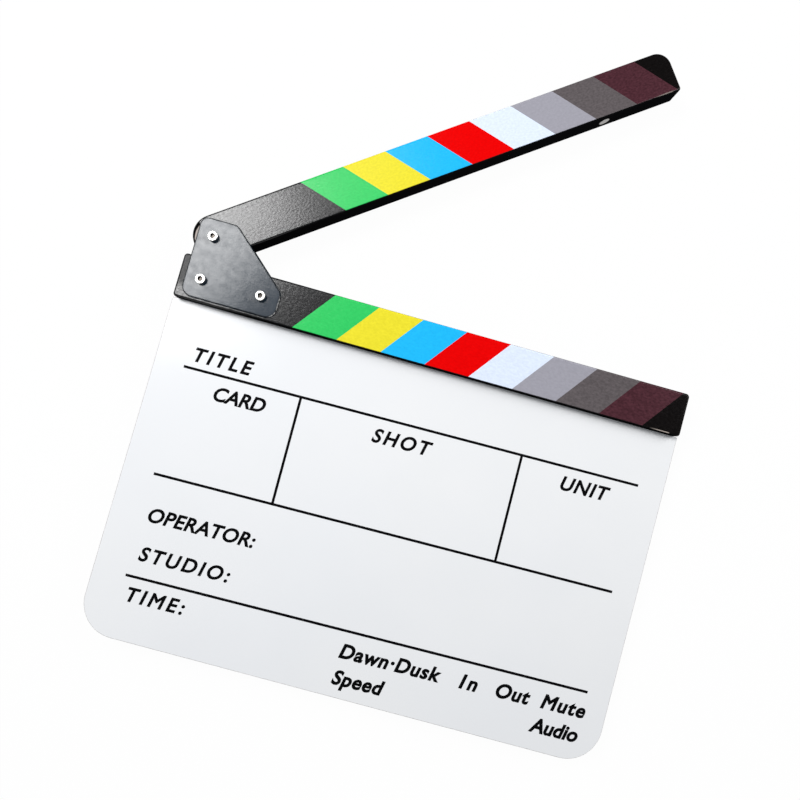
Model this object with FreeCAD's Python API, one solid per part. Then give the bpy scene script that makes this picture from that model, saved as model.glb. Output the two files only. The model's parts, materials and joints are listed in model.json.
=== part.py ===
import FreeCAD, Part
import math
import os

from FreeCAD import Vector

# A film clapperboard in millimetres, lying on its back with the clap stick open.
# +X runs along the sticks to their free ends, +Y up the writing face, +Z out of it.

# Slate board: an acrylic sheet whose tongue is glued into the lower stick's groove
board_width = 300.0
board_visible_height = 192.4
board_thickness = 3.0
board_corner_radius = 20.0
board_edge_break = 0.3
tongue_height = 16.5
tongue_end_inset = 0.5

# Sticks: two painted hardwood bars, the lower one grooved along its lower edge
stick_end_inset = 1.5
stick_height = 25.2
stick_thickness = 15.0
stick_corner_radius = 2.0
stick_edge_radius = 1.2
groove_side_clearance = 0.1
groove_head_clearance = 0.5

# Clap stick: rounded at the heel so that it swings clear of the lower stick
clap_opening_angle = 36.4
clap_closed_gap = 0.8
clap_heel_reach = 11.8
clap_nose_reach = 282.4
clap_heel_radius = 11.4
clap_back_radius = 12.0
clap_nose_radius = 8.5
clap_lip_radius = 1.5
pivot_inset = 13.5
pivot_drop = 1.1

# Hinge plates: one in front of the sticks and one behind, cut from painted steel sheet
plate_thickness = 1.2
plate_width = 54.2
plate_head_rise = 10.1
plate_top_width = 20.5
plate_side_height = 15.4
plate_end_inset = 4.0
plate_foot_inset = 1.9
plate_screw_inset = 10.4
plate_foot_radius = 6.0
plate_shoulder_radius = 5.0
plate_head_radius = 4.5
plate_edge_break = 0.4

# Screws: M3, with cap heads whose hexagon socket is countersunk at its mouth
screw_diameter = 3.0
screw_head_diameter = 5.5
screw_head_height = 3.0
screw_head_edge_break = 0.3
screw_socket_width = 2.5
screw_socket_depth = 1.5
screw_socket_mouth = 3.2
screw_socket_mouth_angle = 60.0
screw_end_chamfer = 0.3
screw_end_length = 0.8
screw_hole_clearance = 0.1

# Nuts and washers behind the rear plate
nut_width = 5.5
nut_height = 2.4
nut_crown_share = 0.95
nut_crown_angle = 30.0
collar_diameter = 5.0
collar_height = 1.6
collar_edge_break = 0.3
insert_diameter = 4.2
insert_height = 1.2
washer_diameter = 7.0
washer_thickness = 0.5
washer_hole_clearance = 0.1

# Pivot: a brass bush in the clap stick, between two thin nylon washers
bush_diameter = 5.0
bush_running_clearance = 0.05
friction_washer_diameter = 10.0
friction_washer_thickness = 0.4
friction_washer_play = 0.05

# Magnets: one disc let into each of the two edges that meet
magnet_diameter = 6.0
magnet_length = 3.0
magnet_nose_inset = 46.3

cut_overrun = 1.0
same_plane = 1e-6

# Places that follow from the sizes above; the sheet and the sticks share one middle plane, z = 0
stick_length = board_width - 2 * stick_end_inset
stick_left = -stick_length / 2
stick_right = stick_left + stick_length
stick_bottom = board_visible_height
stick_middle = stick_bottom + stick_height / 2
stick_top = stick_bottom + stick_height
stick_face = stick_thickness / 2
plate_face = stick_face + plate_thickness
plate_left = stick_left + plate_end_inset
plate_right = plate_left + plate_width
pivot_x = stick_left + pivot_inset
clap_nose = pivot_x + clap_nose_reach
clap_bottom = stick_top + clap_closed_gap
pivot_y = clap_bottom + stick_height / 2 - pivot_drop
plate_bottom = stick_bottom + plate_foot_inset
plate_top = pivot_y + plate_head_rise
clap_thickness = stick_thickness - 2 * (friction_washer_thickness + friction_washer_play)
magnet_x = min(clap_nose, stick_right) - magnet_nose_inset
screw_radius = screw_diameter / 2
lock_nut_height = nut_height + collar_height

pivot_place = (pivot_x, pivot_y)
base_left_place = (pivot_x, stick_middle)
base_right_place = (plate_right - plate_screw_inset, stick_middle)
hinge_places = (pivot_place, base_left_place, base_right_place)


def rounded_outline(corners):
    """Closed wire through corners given as (x, y, radius), rounded by tangent arcs or left sharp at 0."""
    points = [Vector(x, y, 0) for x, y, radius in corners]
    bends = []
    for index, corner in enumerate(points):
        radius = corners[index][2]
        back = (points[index - 1] - corner).normalize()
        ahead = (points[(index + 1) % len(points)] - corner).normalize()
        half_angle = back.getAngle(ahead) / 2
        reach = radius / math.tan(half_angle)
        inward = (back + ahead).normalize()
        crest = corner + inward * (radius / math.sin(half_angle) - radius)
        bends.append((corner + back * reach, crest, corner + ahead * reach))
    edges = []
    for index, (entry, crest, leave) in enumerate(bends):
        next_entry = bends[(index + 1) % len(bends)][0]
        if corners[index][2] > 0:
            edges.append(Part.Arc(entry, crest, leave).toShape())
        edges.append(Part.makeLine(leave, next_entry))
    return Part.Wire(edges)


def rectangle(left, bottom, right, top, radii):
    """Corners of a rectangle from the lower left round to the upper left, one radius each."""
    return [
        (left, bottom, radii[0]),
        (right, bottom, radii[1]),
        (right, top, radii[2]),
        (left, top, radii[3]),
    ]


def slab(outline, thickness):
    """Outline extruded to a thickness centred on the middle plane."""
    solid = Part.Face(outline).extrude(Vector(0, 0, thickness))
    solid.translate(Vector(0, 0, -thickness / 2))
    return solid


def rim_edges(solid):
    """Edges that lie flat in the front and back faces of a slab."""
    return [edge for edge in solid.Edges if edge.BoundBox.ZLength < same_plane]


def cylinder(radius, low, high, place=(0, 0)):
    """Upright cylinder between two heights."""
    return Part.makeCylinder(radius, high - low, Vector(place[0], place[1], low))


def drilled(solid, places, radius):
    """Solid with round holes right through its thickness."""
    box = solid.BoundBox
    for place in places:
        solid = solid.cut(cylinder(radius, box.ZMin - cut_overrun, box.ZMax + cut_overrun, place))
    return solid


def ring(outer_radius, inner_radius, thickness):
    """Flat ring standing on the plane z = 0."""
    disc = cylinder(outer_radius, 0, thickness)
    return disc.cut(cylinder(inner_radius, -cut_overrun, thickness + cut_overrun))


def hexagon(width):
    """Hexagonal face with the given width across its flats."""
    radius = width / math.sqrt(3)
    turns = [math.radians(60 * step) for step in range(7)]
    corners = [Vector(radius * math.cos(turn), radius * math.sin(turn), 0) for turn in turns]
    return Part.Face(Part.makePolygon(corners))


def behind(solid, place, height):
    """Solid built upwards from z = 0, turned over to hang below a height at a place."""
    turned = solid.copy()
    turned.rotate(Vector(0, 0, 0), Vector(1, 0, 0), 180)
    turned.translate(Vector(place[0], place[1], height))
    return turned


def mirrored(solid):
    """Front piece mirrored to the back of the sticks."""
    return solid.mirror(Vector(0, 0, 0), Vector(0, 0, 1))


def opened(solid):
    """Solid of the closed clap stick, swung open about the pivot."""
    swung = solid.copy()
    swung.rotate(Vector(pivot_x, pivot_y, 0), Vector(0, 0, 1), clap_opening_angle)
    return swung


def make_slate_board():
    """Acrylic sheet with round lower corners and a narrower tongue along its top."""
    half_width = board_width / 2
    half_tongue = stick_length / 2 - tongue_end_inset
    tongue_top = stick_bottom + tongue_height
    outline = rounded_outline([
        (-half_width, 0, board_corner_radius),
        (half_width, 0, board_corner_radius),
        (half_width, stick_bottom, 0),
        (half_tongue, stick_bottom, 0),
        (half_tongue, tongue_top, 0),
        (-half_tongue, tongue_top, 0),
        (-half_tongue, stick_bottom, 0),
        (-half_width, stick_bottom, 0),
    ])
    sheet = slab(outline, board_thickness)
    sheet = sheet.makeChamfer(board_edge_break, rim_edges(sheet))
    return drilled(sheet, (base_left_place, base_right_place), screw_radius + screw_hole_clearance)


def magnet_pocket(edge_height, direction):
    """Blind round pocket in a stick's edge, sunk along Y from that edge."""
    mouth = Vector(magnet_x, edge_height - direction * cut_overrun, 0)
    return Part.makeCylinder(magnet_diameter / 2, magnet_length + cut_overrun, mouth, Vector(0, direction, 0))


def make_magnet(edge_height, direction):
    """Disc magnet flush with a stick's edge."""
    mouth = Vector(magnet_x, edge_height, 0)
    return Part.makeCylinder(magnet_diameter / 2, magnet_length, mouth, Vector(0, direction, 0))


def make_lower_stick():
    """Bar with rounded edges, grooved for the board and drilled for the two base screws."""
    outline = rounded_outline(rectangle(
        stick_left, stick_bottom, stick_right, stick_top, [stick_corner_radius] * 4
    ))
    bar = slab(outline, stick_thickness)
    bar = bar.makeFillet(stick_edge_radius, rim_edges(bar))
    groove_width = board_thickness + 2 * groove_side_clearance
    groove = Part.makeBox(
        stick_length + 2 * cut_overrun,
        tongue_height + groove_head_clearance + cut_overrun,
        groove_width,
        Vector(stick_left - cut_overrun, stick_bottom - cut_overrun, -groove_width / 2),
    )
    bar = bar.cut(groove).cut(magnet_pocket(stick_top, -1))
    return drilled(bar, (base_left_place, base_right_place), screw_radius + screw_hole_clearance)


def make_clap_stick():
    """Bar with a round heel and nose, bored for the bush and pocketed for its magnet."""
    radii = (clap_heel_radius, clap_lip_radius, clap_nose_radius, clap_back_radius)
    outline = rounded_outline(rectangle(
        pivot_x - clap_heel_reach, clap_bottom, clap_nose, clap_bottom + stick_height, radii
    ))
    bar = slab(outline, clap_thickness)
    bar = bar.makeFillet(stick_edge_radius, rim_edges(bar))
    bar = bar.cut(magnet_pocket(clap_bottom, 1))
    return opened(drilled(bar, (pivot_place,), bush_diameter / 2))


def make_hinge_plate():
    """Front plate with a slanted shoulder, its outer edge broken, and three screw holes."""
    outline = rounded_outline([
        (plate_left, plate_bottom, plate_foot_radius),
        (plate_right, plate_bottom, plate_foot_radius),
        (plate_right, plate_bottom + plate_side_height, plate_shoulder_radius),
        (plate_left + plate_top_width, plate_top, plate_shoulder_radius),
        (plate_left, plate_top, plate_head_radius),
    ])
    plate = slab(outline, plate_thickness)
    plate.translate(Vector(0, 0, stick_face + plate_thickness / 2))
    outer_edges = [edge for edge in rim_edges(plate) if edge.BoundBox.ZMin > plate_face - same_plane]
    plate = plate.makeChamfer(plate_edge_break, outer_edges)
    return drilled(plate, hinge_places, screw_radius + screw_hole_clearance)


def make_screw(place, rear_nut_height):
    """Cap screw from the front plate through to just past its nut."""
    grip = 2 * plate_face + washer_thickness + rear_nut_height
    length = grip + screw_end_length
    head = cylinder(screw_head_diameter / 2, 0, screw_head_height)
    crown = [edge for edge in head.Edges if edge.BoundBox.ZMin > screw_head_height - same_plane]
    head = head.makeChamfer(screw_head_edge_break, crown)
    shank = cylinder(screw_radius, -length, 0)
    tip = [edge for edge in shank.Edges if edge.BoundBox.ZMax < same_plane - length]
    shank = shank.makeChamfer(screw_end_chamfer, tip)
    socket = hexagon(screw_socket_width).extrude(Vector(0, 0, screw_socket_depth + cut_overrun))
    socket.translate(Vector(0, 0, screw_head_height - screw_socket_depth))
    mouth_radius = screw_socket_mouth / 2
    mouth_depth = mouth_radius / math.tan(math.radians(screw_socket_mouth_angle))
    mouth = Part.makeCone(0, mouth_radius, mouth_depth, Vector(0, 0, screw_head_height - mouth_depth))
    screw = head.fuse(shank).removeSplitter().cut(socket).cut(mouth)
    screw.translate(Vector(place[0], place[1], plate_face))
    return screw


def make_nut():
    """Hexagon nut, flat on its seat and with its outer crown turned off at an angle."""
    corner_radius = nut_width / math.sqrt(3)
    crown_radius = nut_crown_share * nut_width / 2
    crown_drop = (corner_radius - crown_radius) * math.tan(math.radians(nut_crown_angle))
    half_section = Part.makePolygon([
        Vector(0, 0, 0),
        Vector(corner_radius, 0, 0),
        Vector(corner_radius, 0, nut_height - crown_drop),
        Vector(crown_radius, 0, nut_height),
        Vector(0, 0, nut_height),
        Vector(0, 0, 0),
    ])
    turned = Part.Face(half_section).revolve(Vector(0, 0, 0), Vector(0, 0, 1), 360)
    prism = hexagon(nut_width).extrude(Vector(0, 0, nut_height))
    return prism.common(turned).cut(cylinder(screw_radius, -cut_overrun, nut_height + cut_overrun))


def make_lock_nut():
    """Hexagon nut with a round collar, hollowed for a nylon insert."""
    collar = cylinder(collar_diameter / 2, nut_height, lock_nut_height)
    rim = [edge for edge in collar.Edges if edge.BoundBox.ZMin > lock_nut_height - same_plane]
    collar = collar.makeChamfer(collar_edge_break, rim)
    collar = collar.cut(cylinder(screw_radius, 0, lock_nut_height + cut_overrun))
    pocket = cylinder(insert_diameter / 2, lock_nut_height - insert_height, lock_nut_height + cut_overrun)
    return make_nut().fuse(collar).removeSplitter().cut(pocket)


def make_insert():
    """Nylon ring in the lock nut's collar."""
    nylon = ring(insert_diameter / 2, screw_radius, insert_height)
    nylon.translate(Vector(0, 0, lock_nut_height - insert_height))
    return nylon


def make_friction_washer():
    """Thin nylon ring between the clap stick and the front plate."""
    nylon = ring(
        friction_washer_diameter / 2, screw_radius + washer_hole_clearance, friction_washer_thickness
    )
    nylon.translate(Vector(pivot_x, pivot_y, stick_face - friction_washer_thickness))
    return nylon


def make_bush():
    """Brass bush as long as the clap stick is thick, running on the pivot screw."""
    bush = ring(bush_diameter / 2, screw_radius + bush_running_clearance, clap_thickness)
    bush.translate(Vector(pivot_x, pivot_y, -clap_thickness / 2))
    return opened(bush)


hinge_plate = make_hinge_plate()
friction_washer = make_friction_washer()
steel_washer = ring(washer_diameter / 2, screw_radius + washer_hole_clearance, washer_thickness)
nut_seat = -plate_face - washer_thickness

pieces = {
    "slate_board": make_slate_board(),
    "lower_stick": make_lower_stick(),
    "clap_stick": make_clap_stick(),
    "front_hinge_plate": hinge_plate,
    "rear_hinge_plate": mirrored(hinge_plate),
    "pivot_screw": make_screw(pivot_place, lock_nut_height),
    "base_screw_left": make_screw(base_left_place, nut_height),
    "base_screw_right": make_screw(base_right_place, nut_height),
    "pivot_washer": behind(steel_washer, pivot_place, -plate_face),
    "base_washer_left": behind(steel_washer, base_left_place, -plate_face),
    "base_washer_right": behind(steel_washer, base_right_place, -plate_face),
    "pivot_lock_nut": behind(make_lock_nut(), pivot_place, nut_seat),
    "pivot_nut_insert": behind(make_insert(), pivot_place, nut_seat),
    "base_nut_left": behind(make_nut(), base_left_place, nut_seat),
    "base_nut_right": behind(make_nut(), base_right_place, nut_seat),
    "pivot_bush": make_bush(),
    "front_friction_washer": friction_washer,
    "rear_friction_washer": mirrored(friction_washer),
    "clap_magnet": opened(make_magnet(clap_bottom, 1)),
    "base_magnet": make_magnet(stick_top, -1),
}

# The origin is the middle of the open part's box, on the plane that it lies on
whole_box = Part.makeCompound(list(pieces.values())).optimalBoundingBox(False, False)
to_origin = Vector(-whole_box.Center.x, -whole_box.Center.y, -whole_box.ZMin)

os.makedirs("parts", exist_ok=True)
for name, piece in pieces.items():
    piece.translate(to_origin)
    piece.exportStep("parts/" + name + ".step")
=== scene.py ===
import json
import math

import bmesh
import bpy
from mathutils import Matrix, Vector


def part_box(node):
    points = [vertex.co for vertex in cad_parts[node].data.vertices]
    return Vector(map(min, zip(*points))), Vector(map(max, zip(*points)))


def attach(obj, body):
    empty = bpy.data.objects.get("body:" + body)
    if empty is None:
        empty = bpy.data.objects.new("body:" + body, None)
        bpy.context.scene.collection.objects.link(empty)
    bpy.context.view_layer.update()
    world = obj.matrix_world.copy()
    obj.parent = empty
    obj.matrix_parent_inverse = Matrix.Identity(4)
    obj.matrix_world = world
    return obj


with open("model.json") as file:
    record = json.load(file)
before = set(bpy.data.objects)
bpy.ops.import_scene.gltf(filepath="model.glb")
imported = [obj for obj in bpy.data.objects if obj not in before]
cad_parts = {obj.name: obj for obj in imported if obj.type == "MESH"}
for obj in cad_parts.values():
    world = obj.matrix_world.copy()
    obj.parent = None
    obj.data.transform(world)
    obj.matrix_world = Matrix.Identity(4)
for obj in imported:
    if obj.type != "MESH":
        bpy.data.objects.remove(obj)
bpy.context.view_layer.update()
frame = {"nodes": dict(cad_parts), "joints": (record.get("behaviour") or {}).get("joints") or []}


# Slate board: a sheet of opal acrylic, 3 mm thick, cut with two round lower corners.
# Its faces keep the polish of the sheet, hazed a little by years of wiping off pen ink;
# the sawn edge is only scraped, so it looks greyer. The top slides into the lower stick.

def feed(tree, node, inputs):
    """Sets a node's sockets to plain values, or links them to other nodes' outputs."""
    for socket, value in inputs.items():
        if isinstance(value, bpy.types.NodeSocket):
            tree.links.new(value, node.inputs[socket])
        else:
            node.inputs[socket].default_value = value
    return node


def add(tree, kind, inputs=None, **settings):
    """New shader node with its settings and inputs."""
    node = tree.nodes.new("ShaderNode" + kind)
    for name, value in settings.items():
        setattr(node, name, value)
    return feed(tree, node, inputs or {})


def reckon(tree, operation, *values):
    """Output of a math node."""
    return add(tree, "Math", dict(enumerate(values)), operation=operation).outputs[0]


def times(tree, first, *others):
    """Product of masks and values."""
    for other in others:
        first = reckon(tree, "MULTIPLY", first, other)
    return first


def ranged(tree, value, low, high, to_low, to_high):
    """Value moved from one range to another and held inside it."""
    inputs = {"Value": value, "From Min": low, "From Max": high, "To Min": to_low, "To Max": to_high}
    return add(tree, "MapRange", inputs).outputs["Result"]


def mixed(tree, share, first, second):
    """Colour between two colours."""
    return add(tree, "Mix", {0: share, 6: first, 7: second}, data_type="RGBA").outputs[2]


def noise(tree, coords, scale, detail=2.0, stretch=(1.0, 1.0, 1.0)):
    """Noise value; the stretch squeezes the coordinates first, so a small share makes long marks."""
    squeezed = add(tree, "VectorMath", {0: coords, 1: stretch}, operation="MULTIPLY").outputs[0]
    return add(tree, "TexNoise", {"Vector": squeezed, "Scale": scale, "Detail": detail}).outputs["Fac"]


def relief(tree, height, strength, depth, **settings):
    """Normal of a surface roughened by a height; the depth is in metres."""
    inputs = {"Strength": strength, "Distance": depth, "Height": height}
    return add(tree, "Bump", inputs, **settings).outputs[0]


def new_material(name):
    """Material with one principled shader, and its node tree."""
    material = bpy.data.materials.new(name)
    material.use_nodes = True
    tree = material.node_tree
    tree.nodes.clear()
    shader = add(tree, "BsdfPrincipled")
    add(tree, "OutputMaterial", {"Surface": shader.outputs[0]})
    return material, tree, shader


def new_group(name, inputs, outputs):
    """Shader node group with named sockets; gives the group, its inside inputs and its inside outputs."""
    group = bpy.data.node_groups.new(name, "ShaderNodeTree")
    for socket, kind in inputs.items():
        group.interface.new_socket(socket, in_out="INPUT", socket_type="NodeSocket" + kind)
    for socket, kind in outputs.items():
        group.interface.new_socket(socket, in_out="OUTPUT", socket_type="NodeSocket" + kind)
    inside = group.nodes.new("NodeGroupInput").outputs
    return group, inside, group.nodes.new("NodeGroupOutput")


def dress(nodes, material):
    """Gives a material to pieces that come from the CAD model."""
    for name in nodes:
        for slot in frame["nodes"][name].material_slots:
            slot.material = material


def handling_group():
    """Marks of use: soft smears from hands and cloths, and fine scratches in two directions."""
    group, given, made = new_group(
        "handling_marks", {"Vector": "Vector"}, {"Smear": "Float", "Scratch": "Float"}
    )
    coords = given["Vector"]
    smear = ranged(group, noise(group, coords, 22.0, 4.0), 0.38, 0.68, 0.0, 1.0)
    along = noise(group, coords, 900.0, 1.0, (0.03, 1.0, 1.0))
    across = noise(group, coords, 800.0, 1.0, (1.0, 0.05, 1.0))
    deepest = reckon(group, "MAXIMUM", along, across)
    scratch = ranged(group, deepest, 0.66, 0.76, 0.0, 1.0)
    feed(group, made, {"Smear": smear, "Scratch": scratch})
    return group


handling_marks = handling_group()
sheet_tones = (0.855, 0.865, 0.885, 1), (0.875, 0.880, 0.890, 1)
hazed_tone = (0.80, 0.815, 0.835, 1)
haze_share = 0.25
sawn_edge_tone = (0.47, 0.44, 0.43, 1)
polish_roughness = 0.16
haze_roughness = 0.10
saw_roughness = 0.25
acrylic_ior = 1.49
scratch_depth = 0.00001

acrylic, tree, shader = new_material("white_acrylic")
place = add(tree, "TexCoord").outputs
marks = add(tree, "Group", {"Vector": place["Object"]}, node_tree=handling_marks).outputs
tilt = add(tree, "SeparateXYZ", {0: place["Normal"]}).outputs["Z"]
edge = ranged(tree, reckon(tree, "ABSOLUTE", tilt), 0.9, 0.98, 1.0, 0.0)
cast = ranged(tree, noise(tree, place["Object"], 9.0, 1.0), 0.35, 0.65, 0.0, 1.0)
face_tone = mixed(tree, cast, *sheet_tones)
hazed = mixed(tree, times(tree, marks["Smear"], haze_share), face_tone, hazed_tone)
roughness = reckon(tree, "MULTIPLY_ADD", marks["Smear"], haze_roughness, polish_roughness)
feed(tree, shader, {
    "Base Color": mixed(tree, edge, hazed, sawn_edge_tone),
    "Roughness": reckon(tree, "MULTIPLY_ADD", edge, saw_roughness, roughness),
    "IOR": acrylic_ior,
    "Normal": relief(tree, marks["Scratch"], 0.15, scratch_depth, invert=True),
})
dress(["slate_board"], acrylic)


# Printed rules and field names: black screen-printed ink on the front of the sheet.
# The ink film is a few hundredths of a millimetre thick and was printed a little askew.
# The words are plain field names, slanted and spaced out, in the printer's usual letter.

print_turn = 0.0135
print_rise = 0.00003
print_sink = 0.00001
film_thickness = print_rise + print_sink
ink_tones = (0.001, 0.001, 0.001, 1), (0.004, 0.004, 0.005, 1)
ink_sheen = 0.03
board_low, board_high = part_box("slate_board")
print_start = Matrix.Translation((board_low.x, board_low.y, board_high.z - print_sink))
print_corner = print_start @ Matrix.Rotation(print_turn, 4, "Z")

ink, tree, shader = new_material("print_ink")
grain = noise(tree, add(tree, "TexCoord").outputs["Object"], 2600.0, 3.0)
feed(tree, shader, {
    "Base Color": mixed(tree, grain, *ink_tones),
    "Roughness": ranged(tree, grain, 0.3, 0.7, 0.45, 0.60),
    "Specular IOR Level": ink_sheen,
})


def print_piece(name, mesh):
    """Ink film that lies on the front of the sheet and moves with it."""
    mesh.transform(print_corner)
    mesh.materials.append(ink)
    piece = bpy.data.objects.new(name, mesh)
    bpy.context.scene.collection.objects.link(piece)
    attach(piece, "slate")
    return piece


def print_rule(name, left, bottom, right, top):
    """Straight printed bar, in metres from the print's lower left corner."""
    work = bmesh.new()
    bmesh.ops.create_cube(work, size=1.0)
    size = Matrix.Diagonal((right - left, top - bottom, film_thickness, 1))
    middle = Matrix.Translation(((left + right) / 2, (bottom + top) / 2, film_thickness / 2))
    bmesh.ops.transform(work, matrix=middle @ size, verts=work.verts)
    mesh = bpy.data.meshes.new(name)
    work.to_mesh(mesh)
    work.free()
    return print_piece(name, mesh)


rule_width = 0.0015
half_rule = rule_width / 2
rule_left, rule_right = 0.0190, 0.2870
rule_heights = {"title_rule": 0.1558, "field_rule": 0.0934, "crew_rule": 0.0354}
for name, height in rule_heights.items():
    print_rule(name, rule_left, height - half_rule, rule_right, height + half_rule)
divider_bottom = rule_heights["field_rule"] + half_rule
divider_top = rule_heights["title_rule"] - half_rule
divider_places = {"left_divider": 0.0873, "right_divider": 0.2176}
for name, across in divider_places.items():
    print_rule(name, across - half_rule, divider_bottom, across + half_rule, divider_top)

letter_size = 0.0111
letter_slant = 0.22
letter_weight = 0.00034
bold_weight = 0.00043
trial_spacing = 1.5


def print_word(name, text, left, baseline, width, weight):
    """Slanted printed word, spaced out to a width, in metres from the print's lower left corner."""
    letters = bpy.data.curves.new(name, "FONT")
    letters.body = text
    letters.size = letter_size
    letters.shear = letter_slant
    letters.bevel_depth = weight
    letters.bevel_resolution = 0
    letters.resolution_u = 6
    holder = bpy.data.objects.new(name, letters)
    bpy.context.scene.collection.objects.link(holder)
    bpy.context.view_layer.update()
    tight = holder.dimensions.x
    letters.space_character = trial_spacing
    bpy.context.view_layer.update()
    loose = holder.dimensions.x
    letters.space_character = 1.0 + (trial_spacing - 1.0) * (width - tight) / (loose - tight)
    bpy.context.view_layer.update()
    shown = holder.evaluated_get(bpy.context.evaluated_depsgraph_get())
    mesh = bpy.data.meshes.new_from_object(shown)
    bpy.data.objects.remove(holder)
    start = min(vertex.co.x for vertex in mesh.vertices)
    film = Matrix.Diagonal((1, 1, film_thickness / (2 * weight), 1))
    mesh.transform(Matrix.Translation((left - start, baseline, film_thickness / 2)) @ film)
    return print_piece(name, mesh)


words = {
    "title_word": ("TITLE", 0.0231, 0.1602, 0.0340, letter_weight),
    "card_word": ("CARD", 0.0394, 0.1416, 0.0300, letter_weight),
    "shot_word": ("SHOT", 0.1319, 0.1418, 0.0350, letter_weight),
    "unit_word": ("UNIT", 0.2432, 0.1426, 0.0290, letter_weight),
    "operator_word": ("OPERATOR:", 0.0223, 0.0670, 0.0614, letter_weight),
    "studio_word": ("STUDIO:", 0.0231, 0.0450, 0.0520, letter_weight),
    "time_word": ("TIME:", 0.0225, 0.0217, 0.0330, letter_weight),
    "daylight_word": ("Dawn·Dusk", 0.1450, 0.0204, 0.0590, bold_weight),
    "inside_word": ("In", 0.2148, 0.0204, 0.0105, bold_weight),
    "outside_word": ("Out", 0.2360, 0.0206, 0.0200, bold_weight),
    "silent_word": ("Mute", 0.2625, 0.0208, 0.0260, bold_weight),
    "speed_word": ("Speed", 0.1446, 0.0055, 0.0300, bold_weight),
    "audio_word": ("Audio", 0.2590, 0.0068, 0.0285, bold_weight),
}
for name, (text, left, baseline, width, weight) in words.items():
    print_word(name, text, left, baseline, width, weight)


# Lower stick: a hardwood bar, grooved below so that the sheet's tongue is glued into it.
# It is sprayed matt black all round; the front is printed with slanted colour bars under a
# satin varnish that lets the fine grain show. Off the flat faces the black is darker, as painted
# shade, and where knocks have bared the wood by the free end, the pale line is also a painted glint.

fibre_stretch = (0.65, 1.0, 1.0)
pore_depth_share = 0.06


def grain_group():
    """Fine grain of hardwood under paint: short fibres along the bar and small open pores."""
    group, given, made = new_group(
        "painted_grain", {"Vector": "Vector"}, {"Mottle": "Float", "Height": "Float"}
    )
    coords = given["Vector"]
    fibre = noise(group, coords, 1.0, 3.0, fibre_stretch)
    pores = ranged(group, noise(group, coords, 0.9, 1.0, (0.25, 1.6, 1.0)), 0.60, 0.72, 0.0, 1.0)
    mottle = ranged(group, fibre, 0.30, 0.70, 0.0, 1.0)
    height = reckon(group, "SUBTRACT", fibre, times(group, pores, pore_depth_share))
    feed(group, made, {"Mottle": mottle, "Height": height})
    return group


def stripes_group():
    """Row of slanted colour bars, black before the first and after the last.
    Each ink has its colour and the share of the varnish's gloss that it keeps."""
    inks = [
        (0.011, 0.011, 0.012, 0.91),
        (0.026, 0.575, 0.118, 0.75),
        (0.800, 0.705, 0.028, 0.42),
        (0.010, 0.480, 0.915, 0.75),
        (0.775, 0.0003, 0.0006, 0.15),
        (0.715, 0.795, 0.940, 0.40),
        (0.335, 0.328, 0.375, 0.40),
        (0.110, 0.095, 0.099, 0.40),
        (0.066, 0.020, 0.028, 0.40),
        (0.004, 0.003, 0.003, 0.30),
    ]
    group, given, made = new_group(
        "slanted_stripes", {"Bars": "Float"}, {"Color": "Color", "Gloss": "Float"}
    )
    bar = reckon(group, "FLOOR", given["Bars"])
    share = reckon(group, "DIVIDE", reckon(group, "ADD", bar, 1.5), len(inks))
    ramp = add(group, "ValToRGB", {"Fac": share})
    ramp.color_ramp.interpolation = "CONSTANT"
    stops = ramp.color_ramp.elements
    while len(stops) < len(inks):
        stops.new(1.0)
    for index, ink_and_gloss in enumerate(inks):
        stops[index].position = index / len(inks)
        stops[index].color = ink_and_gloss
    feed(group, made, {"Color": ramp.outputs["Color"], "Gloss": ramp.outputs["Alpha"]})
    return group


def dot(tree, first, second):
    """Dot product of two vectors."""
    return add(tree, "VectorMath", {0: first, 1: second}, operation="DOT_PRODUCT").outputs["Value"]


def edge_group():
    """Masks of the outer edges, and of the patches there that hands and knocks wear first."""
    group, given, made = new_group(
        "edge_wear_and_shade", {"Radius": "Float", "Vector": "Vector"}, {"Edge": "Float", "Worn": "Float"}
    )
    rounded = add(group, "Bevel", {"Radius": given["Radius"]}, samples=6).outputs["Normal"]
    bend = dot(group, rounded, add(group, "NewGeometry").outputs["Normal"])
    sharp = ranged(group, bend, 0.998, 0.96, 0.0, 1.0)
    patchy = ranged(group, noise(group, given["Vector"], 160.0, 4.0), 0.48, 0.72, 0.0, 1.0)
    feed(group, made, {"Edge": sharp, "Worn": times(group, sharp, patchy)})
    return group


def band(tree, value, start, full, ease, end):
    """Mask that rises between the first two values and falls again between the last two."""
    rising = ranged(tree, value, start, full, 0.0, 1.0)
    return times(tree, rising, ranged(tree, value, ease, end, 1.0, 0.0))


mm_per_metre = 1000
grain_depth = 0.00012
bar_pitch = 25.69
bar_lean = 0.767
stick_edge_reach = 0.0006
edge_wear_share = 0.35
lip_varnish_fade = (-45.0, -20.0)
varnish_stop = 0.89
lip_varnish_gain = -0.30
varnish_fade = 0.06
knock_and_glint_reaches = (15.0, 9.0, 4.0, 3.0)
heel_reaches = (5.0, 4.0)
heel_rim = (10.8, 11.1)
dull_fade = 1.0
dull_rise = (4.0, 10.0)
dull_share = 0.72
shaded_side_black = (0.004, 0.004, 0.0045, 1)
satin_black = (0.011, 0.011, 0.012, 1)
thin_paint = (0.16, 0.14, 0.12, 1)
knocked_wood_and_glint = (0.46, 0.40, 0.35, 1)
rubbed_wood_and_glint = (0.56, 0.49, 0.45, 1)
heel_rim_shade_black = (0.003, 0.003, 0.003, 1)
varnish_roughness = 0.21
varnish_ior = 1.60
painted_grain = grain_group()
slanted_stripes = stripes_group()
edge_wear_and_shade = edge_group()


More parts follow.
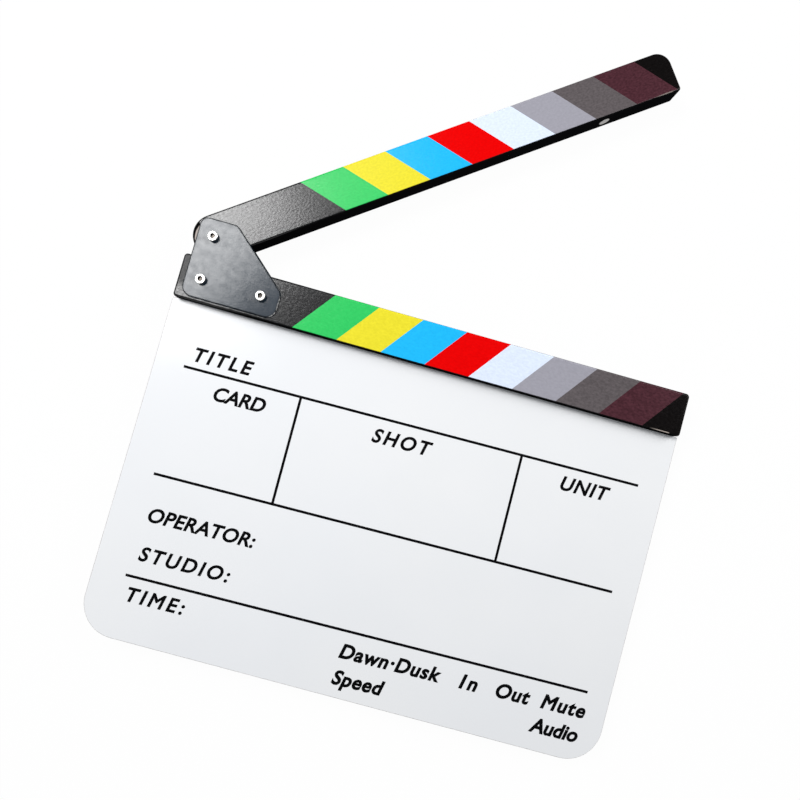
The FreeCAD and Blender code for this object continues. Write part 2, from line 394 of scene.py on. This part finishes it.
def stick_material(name, first_bar, along, up, lean, free_end, bareness_and_glint, heel=None, dull_end=None):
    """Striped paint for a stick; first_bar is where the first colour starts on the stick's lower edge.
    Lengths are in millimetres along and up the stick; lean is how far a bar moves along for each one up.
    Bareness is how far the paint is knocked off the lower edge by the free end; the pale line there
    is also a painted glint. Round the pivot at heel, given along and up too, the plates have rubbed the end
    of the stick down to a pale wood-coloured band, which is also a painted glint, inside a rim of darker
    black that is painted shade. Short of dull_end, where the plates end, hands have dulled the varnish on
    the upper half."""
    material, tree, shader = new_material(name)
    place = add(tree, "TexCoord").outputs
    from_bar = add(tree, "VectorMath", {0: place["Object"], 1: first_bar}, operation="SUBTRACT").outputs[0]
    ways = (along, up, (0, 0, 1))
    far, high, out = (dot(tree, from_bar, Vector(way) * mm_per_metre) for way in ways)
    on_stick = add(tree, "CombineXYZ", {"X": far, "Y": high, "Z": out}).outputs[0]
    slanted = reckon(tree, "MULTIPLY_ADD", high, -lean, far)
    bars = reckon(tree, "DIVIDE", slanted, bar_pitch)
    stripes = add(tree, "Group", {"Bars": bars}, node_tree=slanted_stripes).outputs
    grain = add(tree, "Group", {"Vector": on_stick}, node_tree=painted_grain).outputs
    edge_marks = add(tree, "Group", {
        "Radius": stick_edge_reach, "Vector": place["Object"],
    }, node_tree=edge_wear_and_shade).outputs["Worn"]

    tilt = add(tree, "SeparateXYZ", {0: place["Normal"]}).outputs["Z"]
    facing_up = dot(tree, place["Normal"], up)
    forward = ranged(tree, tilt, 0.50, 0.60, 0.0, 1.0)
    front = times(tree, forward, ranged(tree, facing_up, -0.40, -0.25, 0.0, 1.0))
    by_hinge = ranged(tree, far, *lip_varnish_fade, 1.0, 0.0)
    wetted = reckon(tree, "MULTIPLY_ADD", by_hinge, lip_varnish_gain, varnish_stop)
    dried = reckon(tree, "ADD", wetted, varnish_fade)
    level = ranged(tree, reckon(tree, "ABSOLUTE", tilt), wetted, dried, 0.0, 1.0)

    # Off the flat faces, which the varnish covers, the black is darker: painted shade on the stick's sides,
    # edges and ends. Near the hinge the varnish and the lighter black reach further over the lower lip.
    black = mixed(tree, level, shaded_side_black, satin_black)
    printed = mixed(tree, front, black, stripes["Color"])
    brightness = add(tree, "RGBToBW", {"Color": stripes["Color"]}).outputs[0]
    depth = ranged(tree, brightness, 0.05, 0.16, 0.60, 0.13)
    off_middle = reckon(tree, "SUBTRACT", grain["Mottle"], 0.5)
    shade = reckon(tree, "MULTIPLY_ADD", off_middle, depth, 1.0)
    tone = add(tree, "HueSaturation", {"Color": printed, "Value": shade}).outputs[0]
    tone = mixed(tree, times(tree, edge_marks, edge_wear_share), tone, thin_paint)
    # Pale wood-coloured line on the lower edge by the free end: wood bared by knocks, and a painted glint
    # on the rounded edge.
    lower_edge = band(tree, facing_up, -0.10, -0.20, -0.50, -0.60)
    by_end = band(tree, far, *(free_end - reach for reach in knock_and_glint_reaches))
    tone = mixed(tree, times(tree, lower_edge, by_end, forward, bareness_and_glint), tone, knocked_wood_and_glint)
    varnish = ranged(tree, front, 0.0, 1.0, 1.0, stripes["Gloss"])
    # Round the heel the plates have rubbed a pale wood-coloured band, which is also a painted glint; the
    # rim outside it is a darker black, painted shade on the rounded edge.
    if heel:
        flat = add(tree, "VectorMath", {0: on_stick, 1: (1, 1, 0)}, operation="MULTIPLY").outputs[0]
        away = add(tree, "VectorMath", {0: flat, 1: (*heel, 0)}, operation="DISTANCE").outputs["Value"]
        rim = ranged(tree, away, *heel_rim, 0.0, 1.0)
        before_heel = ranged(tree, far, *(heel[0] - reach for reach in heel_reaches), 0.0, 1.0)
        tone = mixed(tree, before_heel, mixed(tree, rim, rubbed_wood_and_glint, heel_rim_shade_black), tone)
        varnish = times(tree, varnish, before_heel)
    if dull_end is not None:
        past_plate = ranged(tree, far, dull_end, dull_end + dull_fade, 1.0, 0.0)
        dulled = times(tree, past_plate, ranged(tree, high, *dull_rise, 0.0, dull_share))
        varnish = times(tree, varnish, reckon(tree, "SUBTRACT", 1.0, dulled))
    gleam = ranged(tree, grain["Mottle"], 0.0, 1.0, 0.63, 1.0)
    sunk = noise(tree, on_stick, 1.0, 3.0, fibre_stretch)
    feed(tree, shader, {
        "Base Color": tone,
        "Roughness": ranged(tree, front, 0.0, 1.0, 0.75, 0.48),
        "Specular IOR Level": 0.0,
        "Coat Weight": times(tree, level, varnish, gleam),
        "Coat Roughness": varnish_roughness,
        "Coat IOR": varnish_ior,
        "Normal": relief(tree, grain["Height"], 0.5, grain_depth),
        "Coat Normal": relief(tree, sunk, 0.5, grain_depth),
    })
    return material


lower_bar_start = 0.0698
lower_free_end = 225.5
lower_bareness_and_glint = 1.0
stick_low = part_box("lower_stick")[0]
lower_first_bar = Vector((board_low.x + lower_bar_start, stick_low.y, 0))
plate_left = (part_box("front_hinge_plate")[0].x - lower_first_bar.x) * mm_per_metre
lower_paint = stick_material(
    "lower_stick_paint", lower_first_bar, (1, 0, 0), (0, 1, 0), bar_lean,
    lower_free_end, lower_bareness_and_glint, dull_end=plate_left,
)
dress(["lower_stick"], lower_paint)


# Clap stick: the second bar, with a round heel and nose, which swings on the hinge and claps.
# It is finished as the lower stick is, but its bars lean the other way, so that the two rows
# meet in chevrons when the stick is shut. The plates have rubbed its heel down to pale wood,
# which is also a painted glint, inside a rim of darker black that is painted shade.

pivot = Vector(frame["joints"][0]["pos_m"])
opening = math.radians(36.4)
clap_along = Vector((math.cos(opening), math.sin(opening), 0))
clap_up = Vector((-math.sin(opening), math.cos(opening), 0))
pivot_rise = 0.0115
clap_bar_start = 0.0752
clap_free_end = 205.5
clap_bareness_and_glint = 0.45
clap_first_bar = pivot - clap_up * pivot_rise + clap_along * clap_bar_start
clap_heel = (-clap_bar_start * mm_per_metre, pivot_rise * mm_per_metre)
clap_paint = stick_material(
    "clap_stick_paint", clap_first_bar, clap_along, clap_up, -bar_lean,
    clap_free_end, clap_bareness_and_glint, heel=clap_heel,
)
dress(["clap_stick"], clap_paint)


# Hinge plates: two plates cut from 1.2 mm steel sheet, deburred and stove-painted satin black.
# One is screwed in front of the sticks and one behind, and the clap stick turns between them.
# The paint has chipped off the bevel of the lower outer corner, where the steel shines.

plate_tones = (0.007, 0.017, 0.031, 1), (0.011, 0.023, 0.038, 1)
plate_edge_shade_tone = (0.002, 0.002, 0.002, 1)
plate_worn_tone = (0.20, 0.20, 0.20, 1)
plate_worn_share = 0.25
bare_steel = (0.70, 0.70, 0.70, 1)
plate_edge_reach = 0.0010
corner_direction = (0.856, -0.516, 0)
peel_depth = 0.00003

plate_paint, tree, shader = new_material("plate_paint")
place = add(tree, "TexCoord").outputs
marks = add(tree, "Group", {"Vector": place["Object"]}, node_tree=handling_marks).outputs
edge_marks = add(tree, "Group", {
    "Radius": plate_edge_reach, "Vector": place["Object"],
}, node_tree=edge_wear_and_shade).outputs
peel = noise(tree, place["Object"], 900.0, 3.0)
clouded = ranged(tree, noise(tree, place["Object"], 260.0, 5.0), 0.30, 0.70, 0.66, 1.0)
tilt = add(tree, "SeparateXYZ", {0: place["Normal"]}).outputs["Z"]
flat = ranged(tree, reckon(tree, "ABSOLUTE", tilt), 0.90, 0.97, 0.0, 1.0)
dulled = ranged(tree, edge_marks["Edge"], 0.0, 0.5, 1.0, 0.0)
at_corner = ranged(tree, dot(tree, place["Normal"], corner_direction), 0.54, 0.66, 0.0, 1.0)
bevelled = ranged(tree, tilt, 0.45, 0.60, 0.0, 1.0)
chipped = times(tree, at_corner, bevelled, ranged(tree, peel, 0.40, 0.60, 0.0, 1.0))
tone = mixed(tree, marks["Smear"], *plate_tones)
# Near-black along the outer edges: painted shade that draws the plate's outline.
tone = mixed(tree, edge_marks["Edge"], tone, plate_edge_shade_tone)
tone = mixed(tree, times(tree, edge_marks["Worn"], plate_worn_share), tone, plate_worn_tone)
peeled = relief(tree, peel, 0.5, peel_depth)
feed(tree, shader, {
    "Base Color": mixed(tree, chipped, tone, bare_steel),
    "Metallic": chipped,
    "Roughness": reckon(tree, "MULTIPLY_ADD", marks["Smear"], 0.06, 0.40),
    "Specular IOR Level": 0.05,
    "Coat Weight": times(tree, flat, dulled, clouded),
    "Coat Roughness": 0.195,
    "Normal": peeled,
    "Coat Normal": peeled,
})
dress(["front_hinge_plate", "rear_hinge_plate"], plate_paint)


# Screws, nuts and washers: steel turned or pressed, and bright zinc plated.
# The cap screws go in from the front through both plates; the nuts draw up on washers
# behind. The fine rings that the tools leave run round each screw's own middle.

def turned_group():
    """Fine tool rings round an axis along Z, with a soft clouding of the plating."""
    group, given, made = new_group(
        "turned_rings", {"Vector": "Vector", "Middle": "Vector", "Rings per mm": "Float"},
        {"Ring": "Float", "Cloud": "Float", "Radius": "Float"},
    )
    offset = add(group, "VectorMath", {
        0: given["Vector"], 1: given["Middle"],
    }, operation="SUBTRACT").outputs[0]
    flat = add(group, "VectorMath", {
        0: offset, 1: (mm_per_metre, mm_per_metre, 0),
    }, operation="MULTIPLY").outputs[0]
    radius = add(group, "VectorMath", {0: flat}, operation="LENGTH").outputs["Value"]
    rings = add(group, "TexNoise", {
        "W": times(group, radius, given["Rings per mm"]), "Scale": 1.0, "Detail": 2.0,
    }, noise_dimensions="1D").outputs["Fac"]
    cloud = noise(group, given["Vector"], 700.0, 3.0)
    feed(group, made, {"Ring": rings, "Cloud": cloud, "Radius": radius})
    return group


turned_rings = turned_group()
steel_rings_per_mm = 9.0
steel_tones = (0.58, 0.58, 0.57, 1), (0.70, 0.69, 0.67, 1)
socket_grime_and_shade_tone = (0.045, 0.040, 0.036, 1)
grime_and_shade_top, grime_and_shade_full = 0.0001, 0.0005
tool_mark_depth = 0.00003


def steel_material(name, middle, head_top):
    """Bright plated steel, turned round a middle given in metres, darkened down in the head's socket by
    grime and painted shade.
    """
    material, tree, shader = new_material(name)
    coords = add(tree, "TexCoord").outputs["Object"]
    turned = add(tree, "Group", {
        "Vector": coords, "Middle": middle, "Rings per mm": steel_rings_per_mm,
    }, node_tree=turned_rings).outputs
    cloud = turned["Cloud"]
    height = add(tree, "SeparateXYZ", {0: coords}).outputs["Z"]
    # Down in the socket the plating turns dark: grime, and painted shade in the recess.
    sunk = ranged(tree, height, head_top - grime_and_shade_full, head_top - grime_and_shade_top, 1.0, 0.0)
    grime_and_shade = times(tree, sunk, ranged(tree, turned["Radius"], 1.5, 1.7, 1.0, 0.0))
    plating = mixed(tree, ranged(tree, cloud, 0.3, 0.7, 0.0, 1.0), *steel_tones)
    feed(tree, shader, {
        "Base Color": mixed(tree, grime_and_shade, plating, socket_grime_and_shade_tone),
        "Metallic": 1.0,
        "Roughness": ranged(tree, cloud, 0.3, 0.7, 0.22, 0.36),
        "Normal": relief(tree, turned["Ring"], 0.3, tool_mark_depth),
    })
    return material


fasteners = {
    "pivot_screw": ["pivot_screw", "pivot_washer", "pivot_lock_nut"],
    "base_screw_left": ["base_screw_left", "base_washer_left", "base_nut_left"],
    "base_screw_right": ["base_screw_right", "base_washer_right", "base_nut_right"],
}
for screw, stack in fasteners.items():
    low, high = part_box(screw)
    dress(stack, steel_material(screw + "_steel", (low + high) / 2, high.z))


# Nylon: two thin friction washers that the clap stick rubs on, and the ring inside the lock nut
# that grips the thread. They are stamped from natural, slightly milky nylon.

nylon_tones = (0.70, 0.69, 0.63, 1), (0.80, 0.79, 0.75, 1)

nylon, tree, shader = new_material("natural_nylon")
cloud = noise(tree, add(tree, "TexCoord").outputs["Object"], 900.0, 3.0)
feed(tree, shader, {
    "Base Color": mixed(tree, cloud, *nylon_tones),
    "Roughness": ranged(tree, cloud, 0.3, 0.7, 0.38, 0.52),
})
dress(["front_friction_washer", "rear_friction_washer", "pivot_nut_insert"], nylon)


# Pivot bush: a short brass tube turned on a lathe and pressed into the clap stick,
# so that the pivot screw runs in metal and not in wood.

brass_tones = (0.60, 0.42, 0.18, 1), (0.76, 0.58, 0.29, 1)
brass_rings_per_mm = 7.0

brass, tree, shader = new_material("turned_brass")
turned = add(tree, "Group", {
    "Vector": add(tree, "TexCoord").outputs["Object"], "Middle": pivot, "Rings per mm": brass_rings_per_mm,
}, node_tree=turned_rings).outputs
feed(tree, shader, {
    "Base Color": mixed(tree, turned["Cloud"], *brass_tones),
    "Metallic": 1.0,
    "Roughness": ranged(tree, turned["Cloud"], 0.3, 0.7, 0.24, 0.38),
    "Normal": relief(tree, turned["Ring"], 0.3, tool_mark_depth),
})
dress(["pivot_bush"], brass)


# Magnets: two nickel-plated discs glued flush into the edges that meet,
# so that the stick snaps shut and stays shut. Their faces are dulled by the claps.

nickel_tones = (0.30, 0.29, 0.28, 1), (0.42, 0.41, 0.40, 1)

nickel, tree, shader = new_material("nickel_plate")
coords = add(tree, "TexCoord").outputs["Object"]
smear = add(tree, "Group", {"Vector": coords}, node_tree=handling_marks).outputs["Smear"]
feed(tree, shader, {
    "Base Color": mixed(tree, noise(tree, coords, 1200.0, 3.0), *nickel_tones),
    "Metallic": 1.0,
    "Roughness": reckon(tree, "MULTIPLY_ADD", smear, 0.12, 0.34),
})
dress(["clap_magnet", "base_magnet"], nickel)


# Floor: a plain white table top that the clapperboard lies on, seen from straight above.
# It shows as white to the eye and in reflections, and still takes the board's soft shadow.

floor_half = 3.0
floor_tones = (0.86, 0.86, 0.86, 1), (0.88, 0.88, 0.88, 1)
floor_white_share = 0.97
white = (1, 1, 1, 1)

work = bmesh.new()
bmesh.ops.create_grid(work, x_segments=1, y_segments=1, size=floor_half)
floor_mesh = bpy.data.meshes.new("floor")
work.to_mesh(floor_mesh)
work.free()
floor = bpy.data.objects.new("floor", floor_mesh)
bpy.context.scene.collection.objects.link(floor)

floor_paint, tree, shader = new_material("floor_white")
coords = add(tree, "TexCoord").outputs["Object"]
feed(tree, shader, {
    "Base Color": mixed(tree, noise(tree, coords, 12.0), *floor_tones),
    "Roughness": 0.9,
    "Specular IOR Level": 0.1,
})


def seen_share(tree):
    """One for rays from the eye, from a glossy surface or through glass, and nothing for the rest."""
    path = add(tree, "LightPath").outputs
    seen = reckon(tree, "MAXIMUM", path["Is Camera Ray"], path["Is Glossy Ray"])
    return reckon(tree, "MAXIMUM", seen, path["Is Transmission Ray"])


glow = add(tree, "Emission", {"Color": white, "Strength": 1.0}).outputs[0]
share = times(tree, seen_share(tree), floor_white_share)
shown = add(tree, "MixShader", {0: share, 1: shader.outputs[0], 2: glow}).outputs[0]
feed(tree, next(node for node in tree.nodes if node.type == "OUTPUT_MATERIAL"), {"Surface": shown})
floor_mesh.materials.append(floor_paint)


# Studio light: a white surround with a dim ceiling that only reflections meet. The key lamp at
# the upper left throws the short shadows of the screw heads, a small lamp above it adds sheen
# to the sticks, and a broad one at the right evens out the sheet.

fill_tone = (0.94, 0.97, 1.0, 1)
fill_strength = 0.315
ceiling_strength = 0.10
ceiling_starts, ceiling_full = 0.25, 0.55

studio = bpy.data.worlds.new("studio")
bpy.context.scene.world = studio
studio.use_nodes = True
tree = studio.node_tree
tree.nodes.clear()
fill = add(tree, "Background", {"Color": fill_tone, "Strength": fill_strength}).outputs[0]
ceiling = add(tree, "Background", {"Color": white, "Strength": ceiling_strength}).outputs[0]
walls = add(tree, "Background", {"Color": white, "Strength": 1.0}).outputs[0]
rise = add(tree, "SeparateXYZ", {0: add(tree, "TexCoord").outputs["Generated"]}).outputs["Z"]
overhead = ranged(tree, rise, ceiling_starts, ceiling_full, 0.0, 1.0)
mirrored = times(tree, overhead, add(tree, "LightPath").outputs["Is Glossy Ray"])
room = add(tree, "MixShader", {0: mirrored, 1: walls, 2: ceiling}).outputs[0]
surround = add(tree, "MixShader", {0: seen_share(tree), 1: fill, 2: room}).outputs[0]
add(tree, "OutputWorld", {"Surface": surround})


def lamp(name, place, aim, size, power):
    """Square soft lamp, in metres and watts."""
    light = bpy.data.lights.new(name, "AREA")
    light.size = size
    light.energy = power
    holder = bpy.data.objects.new(name, light)
    holder.location = place
    holder.rotation_euler = (Vector(aim) - Vector(place)).to_track_quat("-Z", "Y").to_euler()
    bpy.context.scene.collection.objects.link(holder)
    return holder


lamp("key_lamp", place=(-0.462, 0.225, 0.78), aim=(-0.02, -0.04, 0.0), size=0.34, power=5.7)
lamp("spill_lamp", place=(-0.19, 0.39, 0.78), aim=(0.0, 0.0, 0.0), size=0.20, power=0.24)
lamp("side_lamp", place=(0.72, 0.45, 0.62), aim=(0.0, 0.0, 0.0), size=0.50, power=5.0)


# Camera: it looks almost straight down on the writing face from 38 cm, with a wide lens,
# turned so that the board leans to the right in the frame.

view = bpy.data.cameras.new("camera")
view.sensor_width = 36.0
view.lens = 28.8
camera = bpy.data.objects.new("camera", view)
camera.location = (-0.018829, -0.048369, 0.380072)
camera.rotation_euler = [math.radians(turn) for turn in (2.0976, -1.9781, 15.4963)]
bpy.context.scene.collection.objects.link(camera)
bpy.context.scene.camera = camera
bpy.context.scene.view_settings.view_transform = "Standard"
